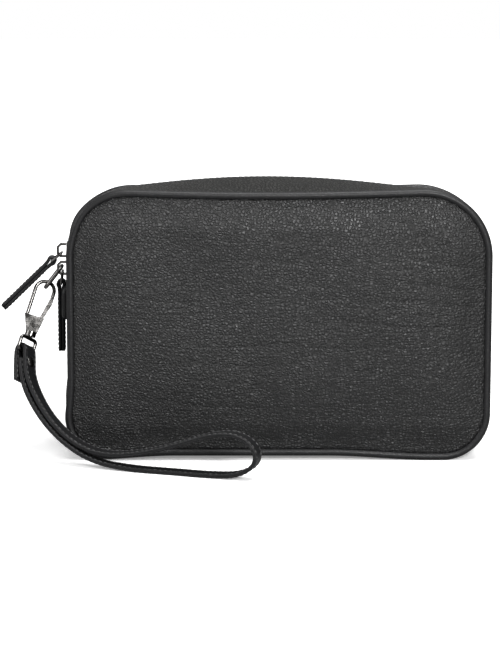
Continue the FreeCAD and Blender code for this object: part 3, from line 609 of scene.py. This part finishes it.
def sheet_profile(top, thick, near, far, steps, fold=0.0):
    """A sheet's cross-section from near to far; a fold rounds the near edge over a doubled hem."""
    run = near + (far - near) * np.linspace(0, 1, steps)
    outer = np.stack([np.full(steps, top), run], -1)
    inner = np.stack([np.full(steps, top + thick), run[::-1]], -1)
    if not fold:
        return np.concatenate([outer, inner])
    side = np.sign(far - near)
    hem = thick + fold
    turn = np.linspace(0, np.pi, 7)
    edge = np.stack([top + hem / 2 + hem / 2 * np.cos(turn), near + side * hem / 2 * (1 - np.sin(turn))], -1)
    outer = outer[np.abs(outer[:, 1]) > abs(near) + hem]
    inner = inner[np.abs(inner[:, 1]) > abs(near) + hem * 3]
    under = np.array([[top + hem, near + side * hem * 2.4], [top + thick, near + side * hem * 2.6]])
    return np.concatenate([outer, inner, under[::-1], edge])


ZIP_LAYERS = [
    # layer, run past the seam, inset, thickness, near edge, far edge, steps, fold, material, slot, CAD node
    ("zip_strip_leather", 0.0, GUSSET_INSET, LEATHER, 0.0055, 0.0291, 26, 0.0001,
     gusset_leather, "leather_gusset", "zip_strip"),
    ("zip_lining_cloth", 0.0, 0.0051, 0.0005, 0.0065, 0.0260, 12, 0.0,
     lining_cloth, "lining_cloth", "zip_lining"),
    ("zip_tape_cloth", 0.004, 0.0034, 0.0006, 0.0026, 0.0136, 8, 0.0,
     tape_cloth, "zip_tape", "zip_tape"),
]
GUSSET_HALF = 0.029
STITCH_ROW = 0.0082
STITCH_START = 0.004


def make_gusset():
    """Two leather strips beside the zip with hemmed, top-stitched edges, their linings, and the bottom."""
    for name, side in (("front", -1), ("back", 1)):
        for layer, past, inset, thick, near, far, steps, fold, material, slot, node_name in ZIP_LAYERS:
            profile = sheet_profile(inset, thick, side * near, side * far, steps, fold)
            strip = gusset_strip(f"{name}_{layer}", np.linspace(-past, OVER + past, 300), profile, material)
            settle(strip, "bag", slot, f"{name}_{node_name}")
        row = side * STITCH_ROW
        line = on_outline(np.linspace(STITCH_START, OVER - STITCH_START, 600), GUSSET_INSET, row)
        places, along, walked = spread_along(line, 0.0034)
        walk = STITCH_START + walked
        outward = on_outline(walk, 0.0, row) - on_outline(walk, 0.001, row)
        stitches = stitch_line(f"{name}_zip_stitches", places, along, outward, 0.0026, 0.00022)
        settle(stitches, "bag", "leather_gusset")
    profile = sheet_profile(GUSSET_INSET, LEATHER, -GUSSET_HALF, GUSSET_HALF, 30)
    bottom = gusset_strip("bottom_gusset_leather", np.linspace(OVER, AROUND, 220), profile, gusset_leather)
    settle(bottom, "bag", "leather_gusset", "bottom_gusset")


def tooth_points():
    """One zip tooth: a shank that narrows to a neck, then a round head; ring sizes by place across."""
    across = np.array([0.0031, 0.0030, 0.0016, 0.0010, 0.0005, 0.0000, -0.0004, -0.0006])
    wide = np.array([0.00035, 0.00050, 0.00050, 0.00034, 0.00034, 0.00052, 0.00046, 0.00020])
    tall = np.array([0.0009, 0.0012, 0.0012, 0.0010, 0.0010, 0.0011, 0.0009, 0.0005])
    turn = np.radians(np.arange(22.5, 360, 45))
    square = np.stack([np.cos(turn), np.sin(turn)], -1) / math.cos(math.pi / 8)
    return across, wide[:, None] * square[:, 0], tall[:, None] * square[:, 1]


def make_teeth():
    """The chain: teeth from both tapes take turns, and part a little between the two sliders."""
    across, wide, tall = tooth_points()
    pitch = 0.0023
    first = 0.0036
    depth, parting = 0.0037, 0.0011
    between_sliders = (0.1094 + 0.120) / 2 - SEAM
    for name, side, shift in (("front", -1, 0.0), ("back", 1, 0.5)):
        walks = np.arange(first + shift * pitch, OVER - first, pitch)
        apart = parting * np.clip(1 - ((walks - between_sliders) / 0.0045) ** 2, 0, 1)
        place = on_outline(walks[:, None, None] + wide[None], depth + tall[None],
                           side * (across[None, :, None] + apart[:, None, None]))
        rows, columns = wide.shape
        faces = [[corner + tooth * rows * columns for corner in face]
                 for tooth in range(len(walks)) for face in tube_faces(rows, columns)]
        piece = link_mesh(f"{name}_zip_chain", place, faces, chain_metal)
        tidy_mesh(piece)
        settle(piece, "bag", "gunmetal", f"{name}_zip_teeth")


# ------------------------------------------------------------------ panels, piping and tabs

def rounded_sheet(u, v, width, low, high, low_round, high_round):
    """Places inside a rectangle with round corners: v sets the height and u the share of the width there.

    Rows crowd together at the corners, so their ends follow the round edges evenly.
    """
    lower = np.clip(v / 0.25, 0, 1) * np.pi / 2
    upper = np.clip((v - 0.75) / 0.25, 0, 1) * np.pi / 2
    middle = np.clip((v - 0.25) / 0.5, 0, 1)
    up = low + low_round * (1 - np.cos(lower)) + (high - low - low_round - high_round) * middle \
        + high_round * np.sin(upper)
    half = width / 2 - low_round * (1 - np.sin(lower)) - high_round * (1 - np.cos(upper))
    return u * half, up


def depth_inside(x, z, width, low, high, low_round, high_round):
    """How far a place is from the edge of the same rounded rectangle."""
    middle = (low + high) / 2
    radius = np.where(z > middle, high_round, low_round)
    over_x = np.abs(x) - (width / 2 - radius)
    over_z = np.abs(z - middle) - ((high - low) / 2 - radius)
    outside = np.hypot(np.clip(over_x, 0, None), np.clip(over_z, 0, None))
    return radius - outside - np.clip(np.maximum(over_x, over_z), None, 0)


CREASES = [
    # middle across, height, half length, depth, slope: long shallow folds in the panel
    (-0.095, 0.104, 0.030, 0.00030, 0.05), (-0.088, 0.094, 0.036, 0.00026, 0.03),
    (-0.060, 0.082, 0.045, 0.00022, 0.02), (-0.020, 0.069, 0.060, 0.00020, -0.02),
    (0.030, 0.058, 0.050, 0.00018, -0.03), (-0.070, 0.052, 0.040, 0.00022, 0.04),
    (0.070, 0.096, 0.040, 0.00016, -0.04), (-0.010, 0.118, 0.060, 0.00015, 0.01),
    (-0.100, 0.116, 0.020, 0.00028, 0.08), (0.060, 0.036, 0.050, 0.00020, 0.02),
]


def round_edge(depth, radius):
    """A quarter round: 0 at a sheet's edge, 1 from one radius inwards."""
    return np.sqrt(np.clip(1 - (1 - np.clip(depth / radius, 0, 1)) ** 2, 0, 1))


def panel_relief(x, z):
    """Soft swells and the long shallow creases, as a height out of the panel."""
    relief = 0.00045 * np.sin(38 * x + 1.0) * np.sin(52 * z + 0.4) + 0.0003 * np.sin(90 * x - 55 * z)
    for across, up, half, deep, slope in CREASES:
        wander = 0.0016 * np.sin(70 * (x - across)) + slope * (x - across)
        fade = np.exp(-((x - across) / half) ** 4)
        relief = relief - deep * fade * np.exp(-((z - up - wander) / 0.0013) ** 2)
    return relief


BELLY = 0.0048
UPPER_SWELL = 0.0014


def panel_grid(side):
    """The panel's outer face: a quick round shoulder beside the piping, a slope, then a swelling middle."""
    rim = 0.0047
    base, shoulder, crown = 0.0298, 0.0019, 0.0036
    shape = (WIDTH - 2 * rim, rim, HEIGHT - rim, BOTTOM_CORNER - rim, TOP_CORNER - rim)
    v, u = np.meshgrid(np.linspace(0, 1, 220), np.sin(np.linspace(-1, 1, 261) * np.pi / 2), indexing="ij")
    x, z = rounded_sheet(u, v, *shape)
    depth = np.clip(depth_inside(x, z, *shape), 0, None)
    out = base + shoulder * round_edge(depth, 0.0022) + crown * smooth_step(depth, 0.0005, 0.019)
    out = out + panel_relief(side * x, z) * smooth_step(depth, 0.002, 0.012)
    belly = smooth_step(z, 0.008, 0.052) * (1 - smooth_step(z, 0.052, 0.156))
    out = out + BELLY * belly * np.clip(1 - (x / 0.122) ** 2, 0, 1) ** 0.7
    out = out + UPPER_SWELL * np.exp(-((x - 0.066) / 0.032) ** 2 - ((z - 0.112) / 0.024) ** 2)
    sag = TOP_SAG * top_share(x) * smooth_step(z, 0.10, 0.155)
    if side > 0:
        sag = sag + BACK_LOWER * smooth_step(z, 0.125, 0.158)
    beside = np.full_like(x, side * PIPING_Y)
    x = x + left_slump(x, beside, z)
    z = z + foot_rise(x, beside, z)
    return np.stack([x, side * out, z - sag], -1)


PIPING_LAYERS = [
    # part, radius, sides, material, slot, CAD node
    ("piping_roll", PIPING_RADIUS, 20, piping_leather, "leather_piping", "piping"),
    ("piping_core", 0.0012, 10, cotton_cord, "piping_cord", "piping_cord"),
]


def make_panels():
    """Front and back leather panels, each with the rolled piping round it."""
    walk = np.linspace(0, AROUND, 560, endpoint=False)
    for name, side in (("front", -1), ("back", 1)):
        points = panel_grid(side)
        if side < 0:
            points = points[:, ::-1]
        panel = grid_piece(f"{name}_panel_leather", points[::-1], panel_leather)
        give_thickness(panel, LEATHER)
        settle(panel, "bag", "leather_panel", f"{name}_panel")
        line = on_outline(walk, PIPING_RADIUS, side * PIPING_Y)
        for part, radius, sides, material, slot, node_name in PIPING_LAYERS:
            section = round_section(radius, sides)
            tube = carry_section(f"{name}_{part}", line, ACROSS_BAG, section, material, closed=True)
            settle(tube, "bag", slot, f"{name}_{node_name}")


def make_end_tabs():
    """A small stitched leather tab over each end of the zip."""
    width, low, high, corner = 0.018, 0.081, 0.098, 0.003
    base, rise, wall = 0.1234, 0.0019, 0.0016
    groove, inset = 0.0003, 0.0022
    stitch_face = 0.12505
    v, u = np.meshgrid(np.linspace(0, 1, 41), np.linspace(-1, 1, 31), indexing="ij")
    shape = (width, low, high, corner, corner)
    y, z = rounded_sheet(u, v, *shape)
    depth = np.clip(depth_inside(y, z, *shape), 0, None)
    out = base + rise * round_edge(depth, 0.0012)
    out = out - groove * np.exp(-((depth - inset) / 0.0006) ** 2)
    half, foot, head = width / 2 - inset, low + inset, high - inset
    corners = np.array([(-half, foot), (half, foot), (half, head), (-half, head), (-half, foot)])
    for name, side in (("left", -1), ("right", 1)):
        points = np.stack([side * out, y, z], -1)
        tab = grid_piece(f"{name}_end_tab_leather", points if side > 0 else points[:, ::-1], piping_leather)
        give_thickness(tab, wall)
        settle(tab, "bag", "leather_gusset", f"{name}_end_tab")
        line = np.stack([np.full(len(corners), side * stitch_face), corners[:, 0], corners[:, 1]], -1)
        places, along, _ = spread_along(line, 0.0030)
        outward = np.broadcast_to(np.array([side, 0.0, 0.0]), places.shape)
        stitches = stitch_line(f"{name}_end_tab_stitches", places, along, outward, 0.0022, 0.0003)
        settle(stitches, "bag", "leather_gusset")


# ------------------------------------------------------------------ leather zip pulls

PULLS = [
    # name, body, CAD node, middle of the link's bar, degrees below level
    ("upper", "upper_pull", "upper_leather_pull", (-0.1329601, 0.0, 0.1137825), 44),
    ("lower", "lower_pull", "lower_leather_pull", (-0.1274340, 0.0, 0.1000411), 90),
]


def pull_line(length, layer, join):
    """A folded strip's line: up one layer, round the link's bar and down the other layer.

    Each point is a place down from the bar and a place out from it, in the plane of swing.
    """
    eye = 0.0019
    turn = np.radians(np.linspace(-138, 138, 25))
    loop = np.stack([-eye * np.cos(turn), eye * np.sin(turn)], -1)
    neck = np.linspace(0, 1, 8)[1:]
    half = layer / 2 + 0.00003
    start = loop[-1]
    curve = np.stack([start[0] + (join - start[0]) * neck,
                      half + (start[1] - half) * (1 - smooth_step(neck, 0, 1))], -1)
    run = np.stack([np.linspace(join, length, 14)[1:], np.full(13, half)], -1)
    upper = np.concatenate([curve, run])
    return np.concatenate([(upper * [1, -1])[::-1], loop, upper])


def make_pull(name, body, cad_node, bar, drop):
    """A strip of leather folded round the link's bar and sewn to itself below it."""
    length, width, layer = 0.040, 0.0079, 0.0019
    join = 0.0062
    proud = 0.00005
    angle = math.radians(drop)
    down = np.array([-math.cos(angle), 0.0, -math.sin(angle)])
    out = np.array([-math.sin(angle), 0.0, math.cos(angle)])
    flat = pull_line(length, layer, join)
    line = np.array(bar) + flat[:, :1] * down + flat[:, 1:] * out
    section = edge_round_section(width, layer)
    strip = carry_section(f"{name}_pull_strip", line, ACROSS_BAG, section, strap_leather)
    settle(strip, body, "leather_strap", cad_node)
    top, foot, side = join + 0.001, length - 0.0016, width / 2 - 0.0013
    ends = np.array([(top, side), (foot, side), (foot, -side), (top, -side), (top, side)])
    row = np.array(bar) + ends[:, :1] * down + ends[:, 1:] * ACROSS_BAG
    for label, face in (("outer", 1), ("inner", -1)):
        corners = row + face * (layer + proud) * out
        places, along, _ = spread_along(corners, 0.0027)
        outward = np.broadcast_to(out * face, places.shape)
        stitches = stitch_line(f"{name}_pull_{label}_stitches", places, along, outward, 0.0019, 0.00026)
        settle(stitches, body, "leather_strap")


def edge_round_section(width, thick):
    """A flat strip's cross-section with a rounded edge at each side."""
    half, deep = width / 2, thick / 2
    bend = deep * 0.7
    turn = np.linspace(-np.pi / 2, np.pi / 2, 7)
    side = np.stack([half - bend + bend * np.cos(turn), deep * np.sin(turn)], -1)
    flat = np.linspace(half - deep, deep - half, 5)
    top = np.stack([flat, np.full(len(flat), deep)], -1)
    return np.concatenate([side, top, -side, -top])


# ------------------------------------------------------------------ metal pieces

SHARP = math.radians(32)


def metal_copy(name, nodes, body, bevel):
    """One smooth gunmetal copy of CAD pieces that are a single casting or pressing.

    Its edges are rounded by the bevel's width, unless that is 0.
    """
    shape = bmesh.new()
    for one in nodes:
        shape.from_mesh(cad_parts[one].data)
    bmesh.ops.remove_doubles(shape, verts=shape.verts, dist=2e-6)
    bmesh.ops.dissolve_limit(shape, angle_limit=math.radians(1), verts=shape.verts, edges=shape.edges)
    bmesh.ops.recalc_face_normals(shape, faces=shape.faces)
    mesh = bpy.data.meshes.new(name)
    shape.to_mesh(mesh)
    shape.free()
    mesh.polygons.foreach_set("use_smooth", [True] * len(mesh.polygons))
    mesh.set_sharp_from_angle(angle=SHARP)
    mesh.materials.append(gunmetal)
    piece = bpy.data.objects.new(name, mesh)
    bpy.context.collection.objects.link(piece)
    if bevel:
        edge = piece.modifiers.new("edge", "BEVEL")
        edge.width = bevel
        edge.segments = 3
        edge.limit_method = "ANGLE"
        edge.angle_limit = SHARP
        edge.harden_normals = True
    settle(piece, body, "gunmetal", *nodes)


METAL_PIECES = [
    # name, CAD nodes, body, bevel
    ("upper_slider", ("upper_slider_body", "upper_slider_crown"), "upper_slider", 0.00022),
    ("lower_slider", ("lower_slider_body", "lower_slider_crown"), "lower_slider", 0.00022),
    ("upper_link_wire", ("upper_link",), "upper_link", 0.0),
    ("lower_link_wire", ("lower_link",), "lower_link", 0.0),
    ("strap_ring_wire", ("strap_ring",), "strap_ring", 0.0),
    ("hook_casting", ("hook_body",), "hook", 0.00018),
    ("hook_gate_arm", ("hook_gate",), "hook_gate", 0.00012),
    ("swivel_eye_casting", ("swivel_eye",), "swivel", 0.0),
    ("rivet_dome", ("strap_rivet_cap",), "strap", 0.00015),
    ("left_stop_staple", ("left_zip_stop",), "bag", 0.00025),
    ("right_stop_staple", ("right_zip_stop",), "bag", 0.00025),
]

PLAIN_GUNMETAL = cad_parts["strap_rivet_post"].data.materials[0]
CAD_FINISHES = [
    # material, CAD nodes; the others that are shown as they are keep the material they come with
    (PLAIN_GUNMETAL, ("hook_gate_pin",)),
    (fibre_board, ("front_backing", "back_backing", "base_board")),
    (spring_steel, ("hook_gate_spring",)),
]


def finish_cad_nodes():
    """Gives some of the CAD meshes that are shown as they are a material of their own."""
    for material, cad_nodes in CAD_FINISHES:
        for cad_node in cad_nodes:
            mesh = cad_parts[cad_node].data
            mesh.materials.clear()
            mesh.materials.append(material)


# ------------------------------------------------------------------ the wrist strap

STRAP_ROUTE = [
    (-0.1484, -0.0168, 0.0572), (-0.1480, -0.0232, 0.0474), (-0.1424, -0.0292, 0.0340),
    (-0.1328, -0.0382, 0.0214), (-0.1196, -0.0456, 0.0105), (-0.1040, -0.0520, 0.0034),
    (-0.0830, -0.0595, 0.0012), (-0.0610, -0.0665, 0.0012), (-0.0380, -0.0750, 0.0012),
    (-0.0210, -0.0810, 0.0026), (-0.0110, -0.0840, 0.0100), (-0.0125, -0.0830, 0.0200),
    (-0.0230, -0.0800, 0.0265), (-0.0380, -0.0760, 0.0250), (-0.0570, -0.0690, 0.0176),
    (-0.0770, -0.0620, 0.0112), (-0.1000, -0.0524, 0.0078), (-0.1174, -0.0454, 0.0138),
    (-0.1302, -0.0386, 0.0244), (-0.1394, -0.0301, 0.0366), (-0.1452, -0.0236, 0.0496),
    (-0.1454, -0.0177, 0.0595), (-0.1460, -0.0137, 0.0651), (-0.1508, -0.0110, 0.0633),
    (-0.1513, -0.0159, 0.0555), (-0.1507, -0.0232, 0.0453),
]
EYE_BAR_RUNS = np.array([0.558, 0.698, -0.4485])
LEVEL = np.array([0.323, 0.946, 0.0])
STRAP_WIDTH = 0.010
STRAP_THICK = 0.0022
STITCH_MARGIN = 0.0013


def nurbs_line(name, points):
    """Points along a smooth curve that the given control points steer."""
    curve = bpy.data.curves.new(name, "CURVE")
    curve.dimensions = "3D"
    curve.resolution_u = 14
    spline = curve.splines.new("NURBS")
    spline.points.add(len(points) - 1)
    spline.points.foreach_set("co", [number for point in points for number in (*point, 1)])
    spline.order_u = 3
    spline.use_endpoint_u = True
    holder = bpy.data.objects.new(name, curve)
    mesh = bpy.data.meshes.new_from_object(holder)
    line = np.array([vertex.co[:] for vertex in mesh.vertices])
    bpy.data.objects.remove(holder)
    bpy.data.curves.remove(curve)
    bpy.data.meshes.remove(mesh)
    return line


def make_strap():
    """A two-layer leather band along the strap's line, flat on the floor and turning to the eye's bar.

    The band's width runs with the eye's bar at both ends and level along the floor between them.
    """
    line = nurbs_line("strap_line", STRAP_ROUTE)
    walked = np.concatenate([[0], np.cumsum(np.linalg.norm(np.diff(line, axis=0), axis=1))])
    from_end = np.minimum(walked, walked[-1] - walked)
    share = smooth_step(from_end, 0.03, 0.11)[:, None]
    wide = unit(EYE_BAR_RUNS * (1 - share) + LEVEL * share)
    strap = carry_section("wrist_strap_leather", line, wide,
                          layered_section(STRAP_WIDTH, STRAP_THICK, 0.0003), strap_leather)
    settle(strap, "strap", "leather_strap", "wrist_strap")
    _, across, through = path_frames(line, wide)
    for face, label in ((1, "outer"), (-1, "inner")):
        for edge in (1, -1):
            rail = line + across * edge * (STRAP_WIDTH / 2 - STITCH_MARGIN) \
                + through * face * STRAP_THICK / 2
            places, along, spots = spread_along(rail, 0.0031)
            outward = face * read_along(spots, walked, through)
            name = f"wrist_strap_{label}_stitches_{'far' if edge > 0 else 'near'}"
            stitches = stitch_line(name, places, along, outward, 0.0022, 0.00028)
            settle(stitches, "strap", "leather_strap")


# ------------------------------------------------------------------ everything in its place

add_camera()
add_studio()
for metal_piece in METAL_PIECES:
    metal_copy(*metal_piece)
make_strap()
make_gusset()
make_teeth()
make_panels()
make_end_tabs()
for pull in PULLS:
    make_pull(*pull)
finish_cad_nodes()
